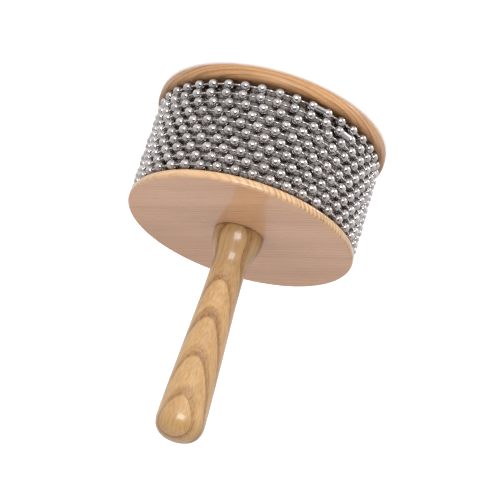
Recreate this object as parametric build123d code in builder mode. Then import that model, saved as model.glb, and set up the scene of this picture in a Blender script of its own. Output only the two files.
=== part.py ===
from build123d import *
from math import cos, pi, sin
import os

# An afuche-cabasa: a wooden drum head wrapped in loops of steel ball chain, on a turned ash handle.
# It stands on the flat face of its end disc with the handle up.  Millimetres, +Z up the handle,
# origin at the centre of the face that it stands on.

# Discs of the head
handle_disc_radius = 57.15
handle_disc_thickness = 4.4
handle_disc_round = 1.5
end_disc_overhang = 1.4
end_disc_thickness = 7.4
end_disc_round = 2.6

# Ball chain
bead_diameter = 4.76
bead_wall = 0.35
bead_spacing = 8.4
bead_proud = 0.25
bead_standoff = 0.4
link_radius = 0.55
link_hole_clearance = 0.25
link_knob_radius = 0.9
link_knob_reach = 1.0
clasp_radius = 1.75
clasp_wall = 0.3
clasp_slot = 1.2
clasp_gap = 0.05

# Loops: how they stack, how far each has turned at rest in bead spacings, and where each is closed
loop_count = 10
loop_clearance = 0.08
first_loop_gap = 0.98
loop_spare = 0.72
loop_turns = (0, 0.5, 0, 0.5, 0, 0.5, 0, 0.5, -0.15, -0.1)
clasp_gaps = (10, 5, 14, 8, 12, 4, 15, 7, 26, 28)

# Drum under the chain
sleeve_thickness = 0.5
sleeve_fit = 0.05
sleeve_end_gap = 0.1
seam_gap = 0.8
seam_angle = 90
tack_rows = 5
tack_from_seam = 4.0
tack_from_end = 5.0
tack_head_radius = 1.3
tack_head_thickness = 0.25
tack_shank_radius = 0.5
tack_length = 9.0
tack_hole_clearance = 0.03

# Handle
handle_length = 109.0
collar_radius = 12.4
collar_land = 1.8
collar_foot_round = 0.6
neck_radius = 8.6
neck_height = 19.0
grip_middle_radius = 9.8
grip_middle_height = 53.0
grip_end_radius = 11.85
grip_tip_depth = 10.5
grip_end_splay = 0.03
tenon_radius = 8.0
tenon_length = 22.0
glue_clearance = 0.05
tenon_end_gap = 0.5

# Bolt, washer and threaded insert
bolt_radius = 3.0
bolt_hole_clearance = 0.3
bolt_head_radius = 5.5
bolt_head_height = 3.4
bolt_head_round = 1.0
bolt_recess = 0.4
bolt_engagement = 9.8
bolt_tip_chamfer = 0.6
bolt_socket_width = 4.0
bolt_socket_depth = 2.0
washer_radius = 7.0
washer_thickness = 1.2
washer_hole_clearance = 0.2
counterbore_radius = 8.0
insert_radius = 4.75
insert_length = 13.0
insert_chamfer = 0.5
thread_clearance = 0.05

# Places that follow from the sizes
bead_radius = bead_diameter / 2
loop_pitch = bead_diameter + loop_clearance
bead_gap = loop_count * loop_pitch + first_loop_gap + loop_spare
handle_disc_bottom = end_disc_thickness + bead_gap
head_height = handle_disc_bottom + handle_disc_thickness
end_disc_radius = handle_disc_radius + end_disc_overhang
ring_radius = handle_disc_radius + bead_proud - bead_radius
bead_count = round(2 * pi * ring_radius / bead_spacing)
bead_angle = 360 / bead_count
bead_chord = 2 * ring_radius * sin(pi / bead_count)
link_ring_radius = ring_radius * cos(pi / bead_count)
link_hole_radius = link_radius + link_hole_clearance
sleeve_radius = ring_radius - bead_radius - bead_standoff
sleeve_bore = sleeve_radius - sleeve_thickness
core_radius = sleeve_bore - sleeve_fit
tenon_bottom = head_height - tenon_length
tenon_hole_radius = tenon_radius + glue_clearance
bolt_hole_radius = bolt_radius + bolt_hole_clearance
washer_bottom = bolt_recess + bolt_head_height
counterbore_depth = washer_bottom + washer_thickness
bolt_tip = tenon_bottom + bolt_engagement

os.makedirs("parts", exist_ok=True)


# Handle: turned ash with a flared collar, a slim neck and a round tip, and a tenon below the collar
with BuildPart() as handle:
    with BuildSketch(Plane.XZ):
        with BuildLine():
            tip_height = handle_length - grip_tip_depth
            seat = Line((0, head_height), (collar_radius, head_height))
            land = Line(seat @ 1, (collar_radius, head_height + collar_land))
            neck = (neck_radius, head_height + neck_height)
            Spline(land @ 1, neck, tangents=((0, 1), (0, 1)))
            Spline(
                neck,
                (grip_middle_radius, head_height + grip_middle_height),
                (grip_end_radius, head_height + tip_height),
                tangents=((0, 1), (grip_end_splay, 1)),
            )
            Spline(
                (grip_end_radius, head_height + tip_height),
                (0, head_height + handle_length),
                tangents=((grip_end_splay, 1), (-1, 0)),
            )
            Line((0, head_height + handle_length), seat @ 0)
        make_face()
    revolve(axis=Axis.Z)
    fillet(handle.edges().filter_by(GeomType.CIRCLE).sort_by(Axis.Z)[0], collar_foot_round)
    with BuildSketch(Plane.XY.offset(tenon_bottom)):
        Circle(tenon_radius)
    extrude(amount=tenon_length)
    with BuildSketch(Plane.XY.offset(tenon_bottom)):
        Circle(insert_radius + glue_clearance)
    extrude(amount=insert_length, mode=Mode.SUBTRACT)

# Threaded insert: a brass bush glued into the end of the tenon
with BuildPart() as handle_insert:
    with BuildSketch(Plane.XY.offset(tenon_bottom)):
        Circle(insert_radius)
        Circle(bolt_radius + thread_clearance, mode=Mode.SUBTRACT)
    extrude(amount=insert_length)
    chamfer(handle_insert.edges().filter_by(GeomType.CIRCLE).group_by(SortBy.RADIUS)[-1], insert_chamfer)

# Handle-side disc: a thin round-edged disc with a hole for the tenon
with BuildPart() as handle_disc:
    with BuildSketch(Plane.XY.offset(handle_disc_bottom)):
        Circle(handle_disc_radius)
        Circle(tenon_hole_radius, mode=Mode.SUBTRACT)
    extrude(amount=handle_disc_thickness)
    fillet(handle_disc.edges().filter_by(GeomType.CIRCLE).group_by(SortBy.RADIUS)[-1], handle_disc_round)

# End disc: thicker and a little larger, counterbored for the bolt's head and washer
with BuildPart() as end_disc:
    with BuildSketch():
        Circle(end_disc_radius)
    extrude(amount=end_disc_thickness)
    fillet(end_disc.edges().filter_by(GeomType.CIRCLE).group_by(SortBy.RADIUS)[-1], end_disc_round)
    with Locations(end_disc.faces().sort_by(Axis.Z)[0]):
        CounterBoreHole(bolt_hole_radius, counterbore_radius, counterbore_depth)

# Tacks: two columns of fine tacks, one on each side of the sleeve's seam
tack_swing = tack_from_seam / sleeve_radius * 180 / pi
tack_spread = bead_gap - 2 * tack_from_end
tack_heights = [
    end_disc_thickness + tack_from_end + row * tack_spread / (tack_rows - 1) for row in range(tack_rows)
]
tack_places = [
    Rot(0, 0, seam_angle + side * tack_swing) * Pos(sleeve_radius, 0, height) * Rot(0, 90, 0)
    for side in (-1, 1)
    for height in tack_heights
]

with BuildPart() as sleeve_tacks:
    with Locations(*tack_places):
        Cylinder(tack_shank_radius, tack_length, align=(Align.CENTER, Align.CENTER, Align.MAX))
        Cylinder(tack_head_radius, tack_head_thickness, align=(Align.CENTER, Align.CENTER, Align.MIN))

with BuildPart() as tack_holes:
    with Locations(*tack_places):
        Cylinder(tack_shank_radius + tack_hole_clearance, 2 * tack_length + 1)

# Core: the solid wooden drum, bored for the tenon, the bolt and the tacks
with BuildPart() as core:
    with BuildSketch(Plane.XY.offset(end_disc_thickness)):
        Circle(core_radius)
        Circle(bolt_hole_radius, mode=Mode.SUBTRACT)
    extrude(amount=bead_gap)
    with BuildSketch(Plane.XY.offset(handle_disc_bottom)):
        Circle(tenon_hole_radius)
    extrude(amount=tenon_bottom - tenon_end_gap - handle_disc_bottom, mode=Mode.SUBTRACT)
    add(tack_holes.part, mode=Mode.SUBTRACT)

# Sleeve: a textured steel sheet rolled round the core, its ends meeting at the seam
with BuildPart() as sleeve:
    with BuildSketch(Plane.XY.offset(end_disc_thickness + sleeve_end_gap)):
        Circle(sleeve_radius)
        Circle(sleeve_bore, mode=Mode.SUBTRACT)
        with Locations(Rot(0, 0, seam_angle) * Pos(sleeve_radius, 0)):
            Rectangle(4 * sleeve_thickness, seam_gap, mode=Mode.SUBTRACT)
    extrude(amount=bead_gap - 2 * sleeve_end_gap)
    add(tack_holes.part, mode=Mode.SUBTRACT)

# Washer and through bolt: they clamp both discs and the core to the handle
with BuildPart() as bolt_washer:
    with BuildSketch(Plane.XY.offset(washer_bottom)):
        Circle(washer_radius)
        Circle(bolt_radius + washer_hole_clearance, mode=Mode.SUBTRACT)
    extrude(amount=washer_thickness)

with BuildPart() as through_bolt:
    with BuildSketch(Plane.XY.offset(bolt_recess)):
        Circle(bolt_head_radius)
    extrude(amount=bolt_head_height)
    fillet(through_bolt.edges().filter_by(GeomType.CIRCLE).sort_by(Axis.Z)[0], bolt_head_round)
    with BuildSketch(Plane.XY.offset(bolt_recess)):
        RegularPolygon(bolt_socket_width / 2, 6, major_radius=False)
    extrude(amount=bolt_socket_depth, mode=Mode.SUBTRACT)
    with BuildSketch(Plane.XY.offset(washer_bottom)):
        Circle(bolt_radius)
    extrude(amount=bolt_tip - washer_bottom)
    chamfer(through_bolt.edges().filter_by(GeomType.CIRCLE).sort_by(Axis.Z)[-1], bolt_tip_chamfer)

# One bead, one link and one clasp of the chain, each lying along Y
with BuildPart() as bead:
    Sphere(bead_radius, rotation=(90, 0, 0))
    Sphere(bead_radius - bead_wall, rotation=(90, 0, 0), mode=Mode.SUBTRACT)
    Cylinder(link_hole_radius, 2 * bead_diameter, rotation=(90, 0, 0), mode=Mode.SUBTRACT)

with BuildPart() as link:
    knob_distance = bead_chord - 2 * link_knob_reach
    Cylinder(link_radius, knob_distance, rotation=(90, 0, 0))
    with Locations((0, knob_distance / 2, 0), (0, -knob_distance / 2, 0)):
        Sphere(link_knob_radius, rotation=(90, 0, 0))

with BuildPart() as clasp:
    Cylinder(clasp_radius, bead_chord, rotation=(90, 0, 0))
    Cylinder(clasp_radius - clasp_wall, bead_chord, rotation=(90, 0, 0), mode=Mode.SUBTRACT)
    with Locations((-clasp_radius, 0, 0)):
        Box(2 * clasp_radius, bead_chord, clasp_slot, mode=Mode.SUBTRACT)
    with Locations((0, bead_chord / 2, 0), (0, -bead_chord / 2, 0)):
        Sphere(bead_radius + clasp_gap, mode=Mode.SUBTRACT)

pieces = {
    "handle": handle,
    "handle_insert": handle_insert,
    "handle_disc": handle_disc,
    "end_disc": end_disc,
    "core": core,
    "sleeve": sleeve,
    "sleeve_tacks": sleeve_tacks,
    "bolt_washer": bolt_washer,
    "through_bolt": through_bolt,
}

# Loops: each one closes on itself round the drum and turns by itself.  Loop 1 lies next to the
# handle-side disc, and the spare height opens up towards the end disc.
for number in range(loop_count):
    spread = loop_spare * (number / (loop_count - 1)) ** 3
    height = handle_disc_bottom - first_loop_gap - bead_radius - number * loop_pitch - spread
    start = loop_turns[number % len(loop_turns)] * bead_angle
    clasp_turn = start + (clasp_gaps[number % len(clasp_gaps)] + 0.5) * bead_angle
    with BuildPart(Plane.XY.offset(height)) as loop_beads:
        with PolarLocations(ring_radius, bead_count, start_angle=start):
            add(bead.part)
    with BuildPart(Plane.XY.offset(height)) as loop_links:
        with PolarLocations(link_ring_radius, bead_count, start_angle=start + bead_angle / 2):
            add(link.part)
    with BuildPart(Plane.XY.offset(height)) as loop_clasp:
        with PolarLocations(link_ring_radius, 1, start_angle=clasp_turn):
            add(clasp.part)
    pieces[f"loop_{number + 1:02d}_beads"] = loop_beads
    pieces[f"loop_{number + 1:02d}_links"] = loop_links
    pieces[f"loop_{number + 1:02d}_clasp"] = loop_clasp

for name, piece in pieces.items():
    piece.part.label = name
    export_step(piece.part, f"parts/{name}.step")
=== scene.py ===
import bpy
from math import cos, pi, radians, sin
from mathutils import Euler, Matrix, Vector


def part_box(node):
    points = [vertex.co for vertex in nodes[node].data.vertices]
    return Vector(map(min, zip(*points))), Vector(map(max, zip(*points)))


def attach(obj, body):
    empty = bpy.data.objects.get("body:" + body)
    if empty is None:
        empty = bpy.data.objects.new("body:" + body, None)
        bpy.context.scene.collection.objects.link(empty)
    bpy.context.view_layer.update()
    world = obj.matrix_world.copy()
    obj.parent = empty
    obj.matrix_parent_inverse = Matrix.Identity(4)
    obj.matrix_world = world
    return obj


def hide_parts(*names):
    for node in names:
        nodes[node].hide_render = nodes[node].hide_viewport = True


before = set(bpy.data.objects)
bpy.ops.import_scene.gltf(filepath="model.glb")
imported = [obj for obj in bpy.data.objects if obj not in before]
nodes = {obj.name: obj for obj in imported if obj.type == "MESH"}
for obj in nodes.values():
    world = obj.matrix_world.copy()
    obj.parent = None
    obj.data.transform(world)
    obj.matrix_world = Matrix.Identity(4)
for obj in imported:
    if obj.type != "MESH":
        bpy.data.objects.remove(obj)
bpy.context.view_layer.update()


# ---------------------------------------------------------------------------------------------
# Core.  The solid wooden drum under the sleeve, turned from one block and left unlacquered.
# It is glued between the two discs and clamped by the through bolt.  The wood figure that every
# turned piece uses is made here.

def feed(tree, socket, value):
    """Links a socket to another node's output, or sets it to a plain value."""
    if isinstance(value, bpy.types.NodeSocket):
        tree.links.new(value, socket)
    else:
        socket.default_value = value


def put(tree, kind, inputs=None, **settings):
    """Adds a node with these settings, and feeds the inputs that are given by name or number."""
    node = tree.nodes.new(kind)
    for name, value in settings.items():
        setattr(node, name, value)
    for name, value in (inputs or {}).items():
        feed(tree, node.inputs[name], value)
    return node


def math_node(tree, operation, *values):
    """A Math node; each value is a number or another node's output."""
    return put(tree, "ShaderNodeMath", dict(enumerate(values)), operation=operation).outputs[0]


def vector_node(tree, operation, *values, output="Vector"):
    """A Vector Math node; a length or a dot product comes out of its "Value" output."""
    node = put(tree, "ShaderNodeVectorMath", dict(enumerate(values)), operation=operation)
    return node.outputs[output]


def part_of(tree, vector, axis):
    """The part of a vector that lies along X, Y or Z, numbered 0, 1 or 2."""
    return put(tree, "ShaderNodeSeparateXYZ", {0: vector}).outputs[axis]


def between(tree, value, low, high, at_low=0.0, at_high=1.0, shape="SMOOTHSTEP"):
    """Maps a value from one range to another, held at both ends."""
    ranges = {"From Min": low, "From Max": high, "To Min": at_low, "To Max": at_high}
    inputs = {"Value": value, **ranges}
    return put(tree, "ShaderNodeMapRange", inputs, interpolation_type=shape).outputs[0]


def noise(tree, place, detail, scale=1.0):
    """Soft noise, mostly between 0.3 and 0.7, at a place."""
    inputs = {"Vector": place, "Scale": scale, "Detail": detail}
    return put(tree, "ShaderNodeTexNoise", inputs).outputs[0]


def mix_colours(tree, factor, first, second, blend="MIX"):
    """Mixes two colours by a factor.  A colour Mix node takes them in its inputs 6 and 7."""
    inputs = {0: factor, 6: first, 7: second}
    return put(tree, "ShaderNodeMix", inputs, data_type="RGBA", blend_type=blend).outputs[2]


def tone(tree, colour, brightness):
    """A colour made darker or lighter by one brightness."""
    grey = put(tree, "ShaderNodeCombineColor", {channel: brightness for channel in range(3)})
    return mix_colours(tree, 1.0, colour, grey.outputs[0], "MULTIPLY")


def shader_group(name, inputs, outputs):
    """An empty shader node group with named sockets: (name, kind, default) in, (name, kind) out."""
    tree = bpy.data.node_groups.new(name, "ShaderNodeTree")
    for label, kind, value in inputs:
        socket = tree.interface.new_socket(
            label, in_out="INPUT", socket_type="NodeSocket" + kind
        )
        socket.default_value = value
    for label, kind in outputs:
        tree.interface.new_socket(label, in_out="OUTPUT", socket_type="NodeSocket" + kind)
    given = tree.nodes.new("NodeGroupInput").outputs
    return tree, given, tree.nodes.new("NodeGroupOutput").inputs


def make_wood_figure():
    """Ring-porous wood: a colour and a height, from a place whose Z runs along the grain.

    Growth rings circle a pith line along Z.  Each begins with a darker, open-pored early band.
    Fine fibres run along the grain."""
    tree, given, result = shader_group(
        "wood_figure",
        [
            ("Place", "Vector", (0, 0, 0)),
            ("Ring Width", "Float", 0.003),
            ("Wander", "Float", 0.002),
            ("Early Share", "Float", 0.5),
            ("Light", "Color", (0.6, 0.4, 0.2, 1)),
            ("Dark", "Color", (0.4, 0.2, 0.06, 1)),
            ("Pore Colour", "Color", (0.2, 0.1, 0.03, 1)),
            ("Pore Depth", "Float", 0.6),
            ("End Grain", "Float", 0.0),
            ("Side Contrast", "Float", 0.75),
            ("Unevenness", "Float", 1.0),
            ("Pore Size", "Float", 1.0),
            ("Fibre", "Float", 1.0),
        ],
        [("Colour", "Color"), ("Height", "Float")],
    )
    place = given["Place"]

    # Rings: the distance from the pith, bent by a slow drift and by wide and narrow years.
    drift_frequency = (45, 45, 14)
    season_frequency = 130.0
    across = vector_node(tree, "MULTIPLY", place, (1, 1, 0))
    radius = vector_node(tree, "LENGTH", across, output="Value")
    drift = noise(tree, vector_node(tree, "MULTIPLY", place, drift_frequency), detail=1.0)
    wander = math_node(tree, "MULTIPLY", math_node(tree, "SUBTRACT", drift, 0.5), given["Wander"])
    season_place = math_node(tree, "MULTIPLY", radius, season_frequency)
    season = put(tree, "ShaderNodeTexNoise", {"W": season_place}, noise_dimensions="1D").outputs[0]
    season_reach = math_node(tree, "MULTIPLY", given["Ring Width"], given["Unevenness"])
    uneven = math_node(tree, "MULTIPLY", math_node(tree, "SUBTRACT", season, 0.5), season_reach)
    grown = math_node(tree, "ADD", math_node(tree, "ADD", radius, wander), uneven)
    rings = math_node(tree, "DIVIDE", grown, given["Ring Width"])

    # Early band: it sets in sharply, fades through the ring, and is fainter in some years.
    onset_starts = 0.94
    year_range, faintest_year = 0.35, 0.65
    along_ring = math_node(tree, "FRACT", rings)
    fading = between(tree, along_ring, 0.0, given["Early Share"], 1.0, 0.0, "SMOOTHERSTEP")
    onset = between(tree, along_ring, onset_starts, 1.0, shape="LINEAR")
    year_number = {"W": math_node(tree, "FLOOR", rings)}
    year = put(tree, "ShaderNodeTexWhiteNoise", year_number, noise_dimensions="1D").outputs[0]
    year_tone = math_node(tree, "MULTIPLY_ADD", year, year_range, faintest_year)
    band = math_node(tree, "MULTIPLY", math_node(tree, "MAXIMUM", fading, onset), year_tone)

    # Fibres, the pores among them, and slow clouds of darker wood.
    fibre_frequency = (900, 900, 30)
    pore_cell = (0.0005, 0.0005, 0.004)
    cloud_frequency = (70, 70, 9)
    early_pores, late_pores = 0.9, 0.08
    fibres = noise(tree, vector_node(tree, "MULTIPLY", place, fibre_frequency), detail=4.0)
    pore_sizes = {axis: given["Pore Size"] for axis in range(3)}
    pore_scale = put(tree, "ShaderNodeCombineXYZ", pore_sizes).outputs[0]
    pore_place = vector_node(tree, "DIVIDE", place, pore_cell)
    pore_place = vector_node(tree, "DIVIDE", pore_place, pore_scale)
    pore_spots = between(tree, noise(tree, pore_place, detail=1.0), 0.5, 0.62)
    pore_share = math_node(tree, "MULTIPLY_ADD", band, early_pores, late_pores)
    pores = math_node(tree, "MULTIPLY", pore_spots, pore_share)
    clouds = noise(tree, vector_node(tree, "MULTIPLY", place, cloud_frequency), detail=2.0)

    # Colour and height.
    end_contrast = 1.15
    cloud_shade = 0.3
    dark_fibre, light_fibre = -0.14, 0.08
    fibre_height, pore_height = 0.25, -0.8
    side_contrast = given["Side Contrast"]
    contrast = between(tree, given["End Grain"], 0.2, 0.9, side_contrast, end_contrast)
    clouding = between(tree, clouds, 0.3, 0.7, 0.0, cloud_shade)
    shade = math_node(tree, "MULTIPLY_ADD", band, contrast, clouding)
    colour = mix_colours(tree, shade, given["Light"], given["Dark"])
    lean = between(tree, fibres, 0.3, 0.7, dark_fibre, light_fibre, "LINEAR")
    lean = math_node(tree, "MULTIPLY", lean, given["Fibre"])
    colour = tone(tree, colour, math_node(tree, "ADD", lean, 1.0))
    pore_mask = math_node(tree, "MULTIPLY", pores, given["Pore Depth"])
    colour = mix_colours(tree, pore_mask, colour, given["Pore Colour"])
    sunk = math_node(tree, "MULTIPLY", pores, pore_height)
    height = math_node(tree, "MULTIPLY_ADD", fibres, fibre_height, sunk)
    tree.links.new(colour, result["Colour"])
    tree.links.new(height, result["Height"])
    return tree


def empty_material(name):
    """A material with nothing in its node tree yet, and that tree."""
    material = bpy.data.materials.new(name)
    material.use_nodes = True
    material.node_tree.nodes.clear()
    return material, material.node_tree


wood_figure = make_wood_figure()


def wood_material(
    name, pith, grain_turn, figure, lacquer, lacquer_roughness, bump,
    flat_painted_tint=(1, 1, 1, 1), far_painted_tint=None,
):
    """A wood finish: the figure placed by its pith and grain direction, under a coat of lacquer.

    The flat tint goes on the surfaces that lie square to Z, and toward +Y it changes to the far
    tint.
    Both tints are painted light, painted shade and painted reflection, not the wood's own colour."""
    relief_depth = 0.0001
    untinted = (1, 1, 1, 1)
    material, tree = empty_material(name)
    surroundings = put(tree, "ShaderNodeTexCoord").outputs
    place, surface_normal = surroundings["Object"], surroundings["Normal"]
    turn = [radians(angle) for angle in grain_turn]
    placing = {"Vector": place, "Location": pith, "Rotation": turn}
    board = put(tree, "ShaderNodeMapping", placing, vector_type="TEXTURE").outputs[0]
    grain = Euler(turn).to_matrix() @ Vector((0, 0, 1))
    facing = vector_node(tree, "DOT_PRODUCT", surface_normal, grain, output="Value")
    wood = put(
        tree,
        "ShaderNodeGroup",
        {"Place": board, "End Grain": math_node(tree, "ABSOLUTE", facing), **figure},
        node_tree=wood_figure,
    )

    flatness = math_node(tree, "ABSOLUTE", part_of(tree, surface_normal, 2))
    # Painted light: surfaces square to Z are tinted as painted shade and painted reflection, and
    # the tint changes towards +Y.
    far_share = between(tree, part_of(tree, place, 1), -0.03, 0.05)
    painted_tint = mix_colours(tree, far_share, flat_painted_tint, far_painted_tint or flat_painted_tint)
    painted_tint = mix_colours(tree, between(tree, flatness, 0.55, 0.95), untinted, painted_tint)
    colour = mix_colours(tree, 1.0, wood.outputs["Colour"], painted_tint, "MULTIPLY")
    smudges = noise(tree, place, detail=3.0, scale=60.0)
    roughness = between(tree, smudges, 0.35, 0.7, 0.42, 0.54, "LINEAR")
    relief = put(
        tree,
        "ShaderNodeBump",
        {"Height": wood.outputs["Height"], "Strength": bump, "Distance": relief_depth},
    )
    surface = put(
        tree,
        "ShaderNodeBsdfPrincipled",
        {
            "Base Color": colour,
            "Roughness": roughness,
            "Coat Weight": lacquer,
            "Coat Roughness": lacquer_roughness,
            "Coat IOR": 1.5,
            "Normal": relief.outputs[0],
        },
    )
    put(tree, "ShaderNodeOutputMaterial", {"Surface": surface.outputs[0]})
    return material


def finish_node(name, material):
    """Gives a CAD node its finished material."""
    slots = nodes[name].material_slots
    if not slots:
        nodes[name].data.materials.append(material)
    for slot in slots:
        slot.material = material


core_figure = {
    "Ring Width": 0.0042, "Wander": 0.004, "Early Share": 0.6, "Pore Depth": 0.4,
    "Light": (0.52, 0.37, 0.22, 1), "Dark": (0.38, 0.24, 0.12, 1),
    "Pore Colour": (0.2, 0.12, 0.06, 1),
}
core_wood = wood_material(
    "core_wood",
    pith=(0.01, -0.006, 0),
    grain_turn=(0, 3, 0),
    figure=core_figure,
    lacquer=0.0,
    lacquer_roughness=0.3,
    bump=0.5,
)
finish_node("core", core_wood)


# ---------------------------------------------------------------------------------------------
# End disc.  A turned board of pale hardwood with a rounded rim, a little wider than the chain.
# It is counterbored on the outside for the bolt, and the whole head stands on it.

end_disc_figure = {
    "Ring Width": 0.0021, "Wander": 0.0016, "Early Share": 0.55, "Pore Depth": 0.35,
    "Light": (0.48, 0.25, 0.10, 1), "Dark": (0.25, 0.112, 0.036, 1),
    "Pore Colour": (0.20, 0.095, 0.035, 1),
}
end_disc_wood = wood_material(
    "end_disc_wood",
    pith=(0.0, 0.02, -0.25),
    grain_turn=(0, 90, 8),
    figure=end_disc_figure,
    lacquer=0.4,
    lacquer_roughness=0.3,
    bump=0.25,
    # Painted shade: this darker tint on the flat faces stands in for the shade on the ring beside
    # the beads, and darkens the underside too.
    flat_painted_tint=(0.72, 0.66, 0.60, 1),
)
finish_node("end_disc", end_disc_wood)


# ---------------------------------------------------------------------------------------------
# Steel sleeve.  A thin stainless sheet, embossed all over with small raised diamonds so that the
# beads rasp on it, rolled round the core and butted at a seam at the back.
# The metal finish that every metal piece uses is made here: cloudy tone, fine wear and grime.

def make_metal_finish():
    """Colour, roughness and height of worn metal, from a place in metres."""
    tree, given, result = shader_group(
        "metal_finish",
        [
            ("Place", "Vector", (0, 0, 0)),
            ("Metal", "Color", (0.6, 0.6, 0.6, 1)),
            ("Grime", "Color", (0.1, 0.08, 0.06, 1)),
            ("Grime Amount", "Float", 0.2),
            ("Smooth", "Float", 0.15),
            ("Worn", "Float", 0.35),
            ("Grain Size", "Float", 900.0),
        ],
        [("Colour", "Color"), ("Roughness", "Float"), ("Height", "Float")],
    )
    place = given["Place"]
    clouds = noise(tree, place, detail=4.0, scale=160.0)
    specks = noise(tree, place, detail=3.0, scale=given["Grain Size"])
    dirt = math_node(tree, "MULTIPLY", between(tree, clouds, 0.45, 0.75), given["Grime Amount"])
    colour = mix_colours(tree, dirt, given["Metal"], given["Grime"])
    wear = math_node(tree, "MULTIPLY", between(tree, specks, 0.35, 0.7), clouds)
    span = math_node(tree, "SUBTRACT", given["Worn"], given["Smooth"])
    roughness = math_node(tree, "MULTIPLY_ADD", wear, span, given["Smooth"])
    for name, value in (("Colour", colour), ("Roughness", roughness), ("Height", specks)):
        tree.links.new(value, result[name])
    return tree


metal_finish = make_metal_finish()


def metal_material(
    name, metal, grime, grime_amount, smooth, worn, bump, shade_by_piece=0.0, metallic=1.0
):
    """A steel or brass finish, from its smooth to its worn roughness.

    shade_by_piece darkens each bead or pin by up to this much, by a shade of its own."""
    relief_depth = 0.00002
    material, tree = empty_material(name)
    finish = put(
        tree,
        "ShaderNodeGroup",
        {
            "Place": put(tree, "ShaderNodeTexCoord").outputs["Object"],
            "Metal": metal,
            "Grime": grime,
            "Grime Amount": grime_amount,
            "Smooth": smooth,
            "Worn": worn,
        },
        node_tree=metal_finish,
    )
    colour = finish.outputs["Colour"]
    if shade_by_piece:
        own = put(tree, "ShaderNodeAttribute", attribute_name="piece_shade").outputs["Fac"]
        darkest = 1.0 - shade_by_piece
        shade = math_node(tree, "MULTIPLY_ADD", own, shade_by_piece, darkest)
        colour = tone(tree, colour, shade)
    relief = put(
        tree,
        "ShaderNodeBump",
        {"Height": finish.outputs["Height"], "Strength": bump, "Distance": relief_depth},
    )
    surface = put(
        tree,
        "ShaderNodeBsdfPrincipled",
        {
            "Base Color": colour,
            "Metallic": metallic,
            "Roughness": finish.outputs["Roughness"],
            "Normal": relief.outputs[0],
        },
    )
    put(tree, "ShaderNodeOutputMaterial", {"Surface": surface.outputs[0]})
    return material


def geometry_tree(name, inputs):
    """An empty geometry node tree with named inputs: (name, kind, default)."""
    tree = bpy.data.node_groups.new(name, "GeometryNodeTree")
    for label, kind, value in inputs:
        socket = tree.interface.new_socket(
            label, in_out="INPUT", socket_type="NodeSocket" + kind
        )
        if value is not None:
            socket.default_value = value
    tree.interface.new_socket("Geometry", in_out="OUTPUT", socket_type="NodeSocketGeometry")
    given = tree.nodes.new("NodeGroupInput").outputs
    return tree, given, tree.nodes.new("NodeGroupOutput").inputs


def end_tree(tree, geometry, metal, result):
    """Ends a geometry tree: realizes the instances and gives them their metal."""
    realized = put(tree, "GeometryNodeRealizeInstances", {0: geometry}).outputs[0]
    painted = put(tree, "GeometryNodeSetMaterial", {"Geometry": realized, "Material": metal})
    tree.links.new(painted.outputs[0], result[0])


def grow(name, tree, **values):
    """Runs a geometry tree with these inputs and returns the result as a plain mesh object."""
    seed = bpy.data.objects.new(name + "_seed", bpy.data.meshes.new(name + "_seed"))
    bpy.context.scene.collection.objects.link(seed)
    modifier = seed.modifiers.new("grow", "NODES")
    modifier.node_group = tree
    identifiers = {
        item.name: item.identifier
        for item in tree.interface.items_tree
        if item.item_type == "SOCKET" and item.in_out == "INPUT"
    }
    for label, value in values.items():
        modifier[identifiers[label.replace("_", " ").title()]] = value
    seed.update_tag()
    bpy.context.view_layer.update()
    finished = seed.evaluated_get(bpy.context.evaluated_depsgraph_get())
    mesh = bpy.data.meshes.new_from_object(finished)
    mesh.name = name
    seed.modifiers.remove(modifier)
    bpy.data.objects.remove(seed)
    piece = bpy.data.objects.new(name, mesh)
    bpy.context.scene.collection.objects.link(piece)
    return piece


def make_embossed_sheet():
    """A flat grid raised into diamonds and rolled into a sleeve."""
    tree, given, result = geometry_tree(
        "embossed_sheet",
        [
            ("Radius", "Float", 0.05),
            ("Bottom", "Float", 0.0),
            ("Height", "Float", 0.05),
            ("Gap", "Float", 0.0008),
            ("Pitch", "Float", 0.0024),
            ("Relief", "Float", 0.0002),
            ("Columns", "Int", 10),
            ("Rows", "Int", 10),
            ("Seam", "Float", 0.0),
            ("Metal", "Material", None),
        ],
    )
    round_length = math_node(tree, "MULTIPLY", given["Radius"], 2 * pi)
    grid = put(
        tree,
        "GeometryNodeMeshGrid",
        {
            "Size X": math_node(tree, "SUBTRACT", round_length, given["Gap"]),
            "Size Y": given["Height"],
            "Vertices X": given["Columns"],
            "Vertices Y": given["Rows"],
        },
    )
    place = put(tree, "GeometryNodeInputPosition").outputs[0]
    along, up = part_of(tree, place, 0), part_of(tree, place, 1)

    # Two sets of slanting waves cross, and their product stands up as diamonds.
    waves = []
    for sign in ("ADD", "SUBTRACT"):
        slanted = math_node(tree, sign, along, up)
        turns = math_node(tree, "DIVIDE", math_node(tree, "MULTIPLY", slanted, pi), given["Pitch"])
        waves.append(math_node(tree, "ABSOLUTE", math_node(tree, "SINE", turns)))
    raised = math_node(tree, "MULTIPLY", math_node(tree, "MULTIPLY", *waves), given["Relief"])

    # The sheet's middle is rolled to the far side of the seam, its two ends to the seam.
    radius = math_node(tree, "ADD", given["Radius"], raised)
    turn = math_node(tree, "DIVIDE", along, given["Radius"])
    angle = math_node(tree, "ADD", math_node(tree, "ADD", turn, pi), given["Seam"])
    half = math_node(tree, "MULTIPLY", given["Height"], 0.5)
    rolled = put(
        tree,
        "ShaderNodeCombineXYZ",
        {
            0: math_node(tree, "MULTIPLY", radius, math_node(tree, "COSINE", angle)),
            1: math_node(tree, "MULTIPLY", radius, math_node(tree, "SINE", angle)),
            2: math_node(tree, "ADD", math_node(tree, "ADD", up, half), given["Bottom"]),
        },
    )
    moved = put(
        tree,
        "GeometryNodeSetPosition",
        {"Geometry": grid.outputs["Mesh"], "Position": rolled.outputs[0]},
    )
    smooth = put(tree, "GeometryNodeSetShadeSmooth", {0: moved.outputs[0]})
    end_tree(tree, smooth.outputs[0], given["Metal"], result)
    return tree


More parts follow.
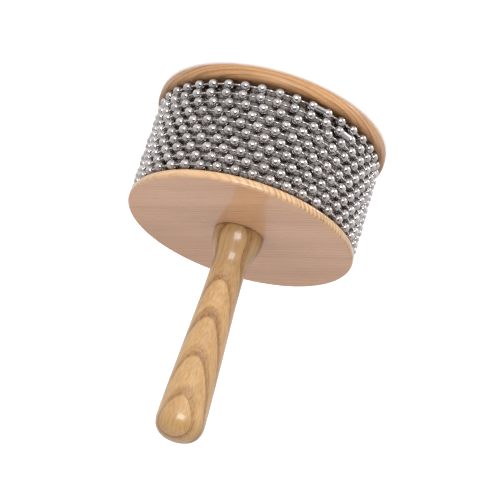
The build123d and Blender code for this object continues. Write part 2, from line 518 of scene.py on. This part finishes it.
# The seam is at the back, so the sleeve's radius is read at the front.
sleeve_low, sleeve_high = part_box("sleeve")
sleeve_radius = -sleeve_low.y
sleeve_thickness = 0.0005
seam_gap = 0.0008
seam_angle = pi / 2
diamond_pitch = 0.0024
diamond_relief = 0.0002
sheet_columns, sheet_rows = 540, 84
sleeve_steel = metal_material(
    "sleeve_steel",
    metal=(0.31, 0.281, 0.265, 1),
    grime=(0.035, 0.025, 0.018, 1),
    grime_amount=0.6,
    smooth=0.2,
    worn=0.4,
    bump=0.3,
)
sleeve_sheet = grow(
    "sleeve_sheet",
    make_embossed_sheet(),
    radius=sleeve_radius,
    bottom=sleeve_low.z,
    height=sleeve_high.z - sleeve_low.z,
    gap=seam_gap,
    pitch=diamond_pitch,
    relief=diamond_relief,
    columns=sheet_columns,
    rows=sheet_rows,
    seam=seam_angle,
    metal=sleeve_steel,
)
thicken = sleeve_sheet.modifiers.new("thickness", "SOLIDIFY")
thicken.thickness = sleeve_thickness
thicken.offset = -1
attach(sleeve_sheet, "drum")
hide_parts("sleeve")


# ---------------------------------------------------------------------------------------------
# Tacks.  Ten fine steel tacks, five on each side of the seam, hold the sleeve's edges down.
# Their flat heads sit on the sheet and clear the beads.

tack_steel = metal_material(
    "tack_steel",
    metal=(0.42, 0.41, 0.40, 1),
    grime=(0.08, 0.06, 0.04, 1),
    grime_amount=0.5,
    smooth=0.25,
    worn=0.5,
    bump=0.3,
)
finish_node("sleeve_tacks", tack_steel)


# ---------------------------------------------------------------------------------------------
# Handle-side disc.  A thinner turned board, its grain across the head, bored for the tenon.
# It has a clear gloss lacquer, as the handle has.

handle_disc_figure = {
    "Ring Width": 0.0019, "Wander": 0.0012, "Early Share": 0.55, "Pore Depth": 0.3,
    "Light": (0.62, 0.39, 0.205, 1), "Dark": (0.36, 0.20, 0.085, 1),
    "Pore Colour": (0.25, 0.12, 0.045, 1), "Side Contrast": 0.2, "Fibre": 0.28,
}
handle_disc_wood = wood_material(
    "disc_wood",
    pith=(-0.062, 0.079, -0.02),
    grain_turn=(0, 90, 38),
    figure=handle_disc_figure,
    lacquer=1.0,
    lacquer_roughness=0.12,
    bump=0.15,
    # Painted reflection and painted shade: the pinkish tint on the front of the face stands in for
    # a reflected veil of light, and the darker, warmer tint towards +Y stands in for shade.
    flat_painted_tint=(1.0, 0.89, 0.94, 1),
    far_painted_tint=(0.80, 0.645, 0.55, 1),
)
finish_node("handle_disc", handle_disc_wood)


# ---------------------------------------------------------------------------------------------
# Handle.  Turned ash with a flared collar, a slim neck and a round end.  Its rings are cut at a
# slant, so they show as nested arches.  A brass insert in its tenon takes the bolt.

handle_figure = {
    "Ring Width": 0.0074, "Wander": 0.004, "Early Share": 0.42, "Pore Depth": 0.8,
    "Light": (0.50, 0.295, 0.113, 1), "Dark": (0.29, 0.138, 0.034, 1),
    "Pore Colour": (0.15, 0.062, 0.013, 1), "Side Contrast": 0.85, "Fibre": 1.5,
    "Pore Size": 1.1, "Unevenness": 0.3,
}
handle_ash = wood_material(
    "ash_handle",
    pith=(0.0115, -0.056, 0.11),
    grain_turn=(-20, 0, 0),
    figure=handle_figure,
    lacquer=0.75,
    lacquer_roughness=0.17,
    bump=0.25,
)
finish_node("handle", handle_ash)

insert_brass = metal_material(
    "insert_brass",
    metal=(0.72, 0.50, 0.20, 1),
    grime=(0.25, 0.15, 0.06, 1),
    grime_amount=0.3,
    smooth=0.2,
    worn=0.4,
    bump=0.2,
)
finish_node("handle_insert", insert_brass)


# ---------------------------------------------------------------------------------------------
# Through bolt and washer.  A zinc-plated socket-head bolt pulls the discs and core against the
# handle.  Its head and washer sit in the end disc's counterbore.

bolt_steel = metal_material(
    "bolt_steel",
    metal=(0.56, 0.56, 0.55, 1),
    grime=(0.12, 0.10, 0.08, 1),
    grime_amount=0.3,
    smooth=0.22,
    worn=0.42,
    bump=0.2,
)
finish_node("through_bolt", bolt_steel)
finish_node("bolt_washer", bolt_steel)


# ---------------------------------------------------------------------------------------------
# Loops of ball chain.  Each of the ten is forty-one hollow beads, pressed from steel strip and
# nickel plated, with a short pin between each two and a clasp that closes the ring, which turns
# freely round the drum.  Loop 1 is the one next to the handle-side disc.

# A bead is dished beyond dish_starts of its radius.  A pin is shorter than the distance between
# its two bead centres by pin_shortfall, and the plays are how far a bead may sit out of place.
bead_count = 41
bead_radius = 0.00476 / 2
bead_width_share = 1.008
bead_length_share = 1.07
dish_starts = 0.97
dish_depth_share = 0.72
pin_radius = 0.00055
pin_shortfall = 0.0028
ring_radius = 0.05502
side_play = 0.00022
level_play = 0.00001
depth_play = 0.0001

path_inputs = [
    ("Count", "Int", 40),
    ("Ring Radius", "Float", 0.05),
    ("Level", "Float", 0.0),
    ("Turn", "Float", 0.0),
    ("Side Play", "Float", 0.0),
    ("Level Play", "Float", 0.0),
    ("Depth Play", "Float", 0.0),
    ("Seed", "Int", 1),
]
ring_inputs = path_inputs + [("Size", "Float", 0.002), ("Metal", "Material", None)]


def chance(tree, low, high, seed):
    """A random number for each point or instance."""
    inputs = {2: low, 3: high, "Seed": seed}
    return put(tree, "FunctionNodeRandomValue", inputs, data_type="FLOAT").outputs[1]


def scaled(tree, vector, factor):
    """A vector made longer or shorter by a factor."""
    return put(tree, "ShaderNodeVectorMath", {0: vector, 3: factor}, operation="SCALE").outputs[0]


def upright(tree, height):
    """A vector along Z of this height."""
    return put(tree, "ShaderNodeCombineXYZ", {2: height}).outputs[0]


def make_chain_path():
    """The bead centres of one loop: points on a ring, each a little out of place."""
    tree, given, result = geometry_tree("chain_path", path_inputs)
    ring = put(
        tree, "GeometryNodeMeshCircle", {"Vertices": given["Count"], "Radius": given["Ring Radius"]}
    )
    placed = put(
        tree,
        "GeometryNodeTransform",
        {
            "Geometry": ring.outputs[0],
            "Translation": upright(tree, given["Level"]),
            "Rotation": upright(tree, given["Turn"]),
        },
    )
    place = put(tree, "GeometryNodeInputPosition").outputs[0]
    outward = vector_node(tree, "NORMALIZE", vector_node(tree, "MULTIPLY", place, (1, 1, 0)))
    sideways = vector_node(tree, "CROSS_PRODUCT", (0, 0, 1), outward)
    plays = ("Side Play", "Level Play", "Depth Play")
    moves = []
    for number, play in enumerate(plays):
        seed = math_node(tree, "MULTIPLY_ADD", given["Seed"], float(len(plays)), float(number))
        moves.append(math_node(tree, "MULTIPLY", chance(tree, -1.0, 1.0, seed), given[play]))
    level_move = vector_node(
        tree, "ADD", scaled(tree, sideways, moves[0]), upright(tree, moves[1])
    )
    offset = vector_node(tree, "ADD", level_move, scaled(tree, outward, moves[2]))
    moved = put(
        tree, "GeometryNodeSetPosition", {"Geometry": placed.outputs[0], "Offset": offset}
    )
    tree.links.new(moved.outputs[0], result[0])
    return tree


chain_path = make_chain_path()


def path_in(tree, given):
    """The loop's path as a node, fed from the tree's own inputs."""
    inputs = {label: given[label] for label, kind, value in path_inputs}
    return put(tree, "GeometryNodeGroup", inputs, node_tree=chain_path).outputs[0]


def end_ring(tree, instances, given, result):
    """Gives each bead or pin a shade of its own, and ends the tree."""
    shaded = put(
        tree,
        "GeometryNodeStoreNamedAttribute",
        {
            "Geometry": instances,
            "Name": "piece_shade",
            "Value": chance(tree, 0.0, 1.0, given["Seed"]),
        },
        data_type="FLOAT",
        domain="INSTANCE",
    )
    end_tree(tree, shaded.outputs[0], given["Metal"], result)


def make_chain_beads():
    """A bead on every point of the path: a coarse smooth ball, dished where the pins go in."""
    tree, given, result = geometry_tree("chain_beads", ring_inputs)
    ball = put(tree, "GeometryNodeMeshUVSphere", {"Segments": 12, "Rings": 8, "Radius": 1.0})
    place = put(tree, "GeometryNodeInputPosition").outputs[0]
    from_middle = math_node(tree, "ABSOLUTE", part_of(tree, place, 2))
    pole = put(
        tree, "FunctionNodeCompare", {0: from_middle, 1: dish_starts}, operation="GREATER_THAN"
    )
    dished = put(
        tree,
        "GeometryNodeSetPosition",
        {
            "Geometry": ball.outputs[0],
            "Selection": pole.outputs[0],
            "Position": vector_node(tree, "MULTIPLY", place, (1, 1, dish_depth_share)),
        },
    )
    wide = math_node(tree, "MULTIPLY", given["Size"], bead_width_share)
    long = math_node(tree, "MULTIPLY", given["Size"], bead_length_share)
    bead = put(
        tree,
        "GeometryNodeTransform",
        {
            "Geometry": dished.outputs[0],
            "Rotation": (pi / 2, 0, 0),
            "Scale": put(tree, "ShaderNodeCombineXYZ", {0: wide, 1: wide, 2: long}).outputs[0],
        },
    )
    smooth = put(tree, "GeometryNodeSetShadeSmooth", {0: bead.outputs[0]})
    position = put(tree, "GeometryNodeInputPosition").outputs[0]
    outward = vector_node(tree, "MULTIPLY", position, (1, 1, 0))
    facing = put(
        tree, "FunctionNodeAlignRotationToVector", {"Vector": outward}, axis="X", pivot_axis="Z"
    )
    beads = put(
        tree,
        "GeometryNodeInstanceOnPoints",
        {
            "Points": path_in(tree, given),
            "Instance": smooth.outputs[0],
            "Rotation": facing.outputs[0],
        },
    )
    end_ring(tree, beads.outputs[0], given, result)
    return tree


def make_chain_pins():
    """A pin on every edge of the path, from inside one bead to inside the next."""
    tree, given, result = geometry_tree("chain_pins", ring_inputs)
    pin = put(
        tree,
        "GeometryNodeMeshCylinder",
        {"Vertices": 10, "Side Segments": 1, "Radius": 1.0, "Depth": 1.0},
        fill_type="TRIANGLE_FAN",
    )
    smooth = put(tree, "GeometryNodeSetShadeSmooth", {0: pin.outputs[0]})
    ends = put(tree, "GeometryNodeInputMeshEdgeVertices").outputs
    span = vector_node(tree, "SUBTRACT", ends["Position 2"], ends["Position 1"])
    kept = put(
        tree,
        "GeometryNodeStoreNamedAttribute",
        {"Geometry": path_in(tree, given), "Name": "span", "Value": span},
        data_type="FLOAT_VECTOR",
        domain="EDGE",
    )
    points = put(tree, "GeometryNodeMeshToPoints", {"Mesh": kept.outputs[0]}, mode="EDGES")
    own_span = put(
        tree, "GeometryNodeInputNamedAttribute", {"Name": "span"}, data_type="FLOAT_VECTOR"
    ).outputs[0]
    span_length = vector_node(tree, "LENGTH", own_span, output="Value")
    pin_length = math_node(tree, "SUBTRACT", span_length, pin_shortfall)
    size = {0: given["Size"], 1: given["Size"], 2: pin_length}
    facing = put(tree, "FunctionNodeAlignRotationToVector", {"Vector": own_span}, axis="Z")
    pins = put(
        tree,
        "GeometryNodeInstanceOnPoints",
        {
            "Points": points.outputs[0],
            "Instance": smooth.outputs[0],
            "Rotation": facing.outputs[0],
            "Scale": put(tree, "ShaderNodeCombineXYZ", size).outputs[0],
        },
    )
    end_ring(tree, pins.outputs[0], given, result)
    return tree


bead_steel = metal_material(
    "bead_steel",
    metal=(0.71, 0.665, 0.65, 1),
    grime=(0.2, 0.17, 0.155, 1),
    grime_amount=0.3,
    smooth=0.06,
    worn=0.14,
    bump=0.05,
    shade_by_piece=0.2,
    metallic=0.85,
)
link_steel = metal_material(
    "link_steel",
    metal=(0.60, 0.57, 0.54, 1),
    grime=(0.16, 0.13, 0.11, 1),
    grime_amount=0.4,
    smooth=0.15,
    worn=0.3,
    bump=0.1,
    shade_by_piece=0.2,
    metallic=0.85,
)
clasp_steel = metal_material(
    "clasp_steel",
    metal=(0.66, 0.64, 0.62, 1),
    grime=(0.2, 0.17, 0.15, 1),
    grime_amount=0.3,
    smooth=0.14,
    worn=0.3,
    bump=0.1,
)
chain_beads = make_chain_beads()
chain_pins = make_chain_pins()

# Each loop's turn at rest, in bead spacings: the rows of beads are staggered like bricks.
loop_turns = (0, 0.5, 0, 0.5, 0, 0.5, 0, 0.5, -0.15, -0.1)
bead_spacing_angle = 2 * pi / bead_count
for number, turn in enumerate(loop_turns):
    loop = f"loop_{number + 1:02d}"
    low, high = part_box(loop + "_beads")
    settings = {
        "count": bead_count,
        "ring_radius": ring_radius,
        "level": (low.z + high.z) / 2,
        "turn": turn * bead_spacing_angle,
        "side_play": side_play,
        "level_play": level_play,
        "depth_play": depth_play,
        "seed": number + 1,
    }
    beads = grow(
        loop + "_bead_ring", chain_beads, size=bead_radius, metal=bead_steel, **settings
    )
    pins = grow(loop + "_pin_ring", chain_pins, size=pin_radius, metal=link_steel, **settings)
    for piece, node, slot in ((beads, "_beads", "bead_steel"), (pins, "_links", "link_steel")):
        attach(piece, loop)
        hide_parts(loop + node)
    finish_node(loop + "_clasp", clasp_steel)


# ---------------------------------------------------------------------------------------------
# Floor, light and camera.  A plain pale floor under soft studio light.  The camera looks a little
# down on the handle side of the head and is rolled right over, so the handle points down.

# The floor lies just under the part and is clear from below, so the underside can be seen.
half_floor = 15.0
floor_level = -0.0001
floor_corners = ((-1, -1), (1, -1), (1, 1), (-1, 1))
floor_mesh = bpy.data.meshes.new("floor")
floor_mesh.from_pydata(
    [(x * half_floor, y * half_floor, floor_level) for x, y in floor_corners],
    [],
    [(0, 1, 2, 3)],
)
floor = bpy.data.objects.new("floor", floor_mesh)
bpy.context.scene.collection.objects.link(floor)
floor_paint, floor_tree = empty_material("floor_paint")
paint = put(
    floor_tree,
    "ShaderNodeBsdfPrincipled",
    {"Base Color": (0.93, 0.93, 0.93, 1), "Roughness": 0.9, "Specular IOR Level": 0.1},
)
from_below = put(floor_tree, "ShaderNodeNewGeometry").outputs["Backfacing"]
clear = put(floor_tree, "ShaderNodeBsdfTransparent")
one_sided = put(
    floor_tree, "ShaderNodeMixShader", {0: from_below, 1: paint.outputs[0], 2: clear.outputs[0]}
)
put(floor_tree, "ShaderNodeOutputMaterial", {"Surface": one_sided.outputs[0]})
floor_mesh.materials.append(floor_paint)
floor.visible_glossy = False
floor.visible_diffuse = False
floor.visible_shadow = False

# The room is pale low down, cooler higher up and dim right underneath.  One dark patch, high in
# front of the head, gives the beads something to mirror.
low_sky = (0.98, 0.96, 0.95, 1)
high_sky = (0.53, 0.54, 0.58, 1)
under_sky = (0.38, 0.37, 0.36, 1)
dark_sky = (0.02, 0.02, 0.02, 1)
dark_direction = (-0.12, -0.72, 0.68)
world = bpy.data.worlds.new("studio")
world.use_nodes = True
sky = world.node_tree
direction = put(sky, "ShaderNodeTexCoord").outputs["Generated"]
sky_height = part_of(sky, direction, 2)
toward_dark = vector_node(sky, "DOT_PRODUCT", direction, dark_direction, output="Value")
sky_colour = mix_colours(sky, between(sky, sky_height, -0.35, 0.25), low_sky, high_sky)
under_share = between(sky, sky_height, -0.85, -0.6, 1.0, 0.0)
sky_colour = mix_colours(sky, under_share, sky_colour, under_sky)
dark_share = between(sky, toward_dark, 0.80, 0.89)
sky_colour = mix_colours(sky, dark_share, sky_colour, dark_sky)
sky.links.new(sky_colour, sky.nodes["Background"].inputs["Color"])
bpy.context.scene.world = world


def soft_light(name, place, target, width, height, power):
    """A rectangular soft light at a place, facing a target."""
    lamp = bpy.data.lights.new(name, "AREA")
    lamp.shape = "RECTANGLE"
    lamp.size = width
    lamp.size_y = height
    lamp.energy = power
    holder = bpy.data.objects.new(name, lamp)
    bpy.context.scene.collection.objects.link(holder)
    holder.location = place
    facing = Vector(target) - Vector(place)
    holder.rotation_euler = facing.to_track_quat("-Z", "Y").to_euler()
    return holder


head_middle = (0, 0, 0.04)
floor_behind = (0, 0.25, 0)
top_light = soft_light("top_light", (0, 0.25, 1.5), floor_behind, 2.0, 2.0, power=18.5)
floor_light = soft_light("floor_light", (0, 0.25, 1.6), floor_behind, 2.0, 2.0, power=28)
soft_light("front_light", (0.07, -1.1, 0.08), head_middle, 0.6, 0.4, power=7.2)
low_light = soft_light("low_light", (0.0, -1.0, -0.47), head_middle, 0.8, 0.35, power=5.5)
soft_light("side_light", (-0.8, -0.2, -0.75), head_middle, 0.4, 0.4, power=3.0)
for unmirrored in (top_light, floor_light, low_light):
    unmirrored.visible_glossy = False

# One light is for the floor alone.
floor_only = bpy.data.collections.new("floor_only")
floor_only.objects.link(floor)
floor_light.light_linking.receiver_collection = floor_only
floor_light.light_linking.blocker_collection = floor_only

# The camera faces the middle of the handle-side disc, moved a little right and down in its own
# frame.
look_down = radians(22.35)
roll = radians(180 + 17.23)
camera_distance = 0.8933
aim_right = 0.0053
aim_up = -0.0075
disc_top = Vector((0, 0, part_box("handle_disc")[1].z))
level_right = Vector((1, 0, 0))
level_up = Vector((0, sin(look_down), cos(look_down)))
forward = Vector((0, cos(look_down), -sin(look_down)))
camera_right = cos(roll) * level_right + sin(roll) * level_up
camera_up = -sin(roll) * level_right + cos(roll) * level_up
camera_place = disc_top - camera_distance * forward
camera_place += aim_right * camera_right + aim_up * camera_up
camera_data = bpy.data.cameras.new("camera")
camera_data.sensor_width = 36
camera_data.lens = 131.8
camera = bpy.data.objects.new("camera", camera_data)
bpy.context.scene.collection.objects.link(camera)
axes = Matrix((camera_right, camera_up, -forward)).transposed()
camera.matrix_world = Matrix.Translation(camera_place) @ axes.to_4x4()
bpy.context.scene.camera = camera
bpy.context.scene.view_settings.view_transform = "Standard"
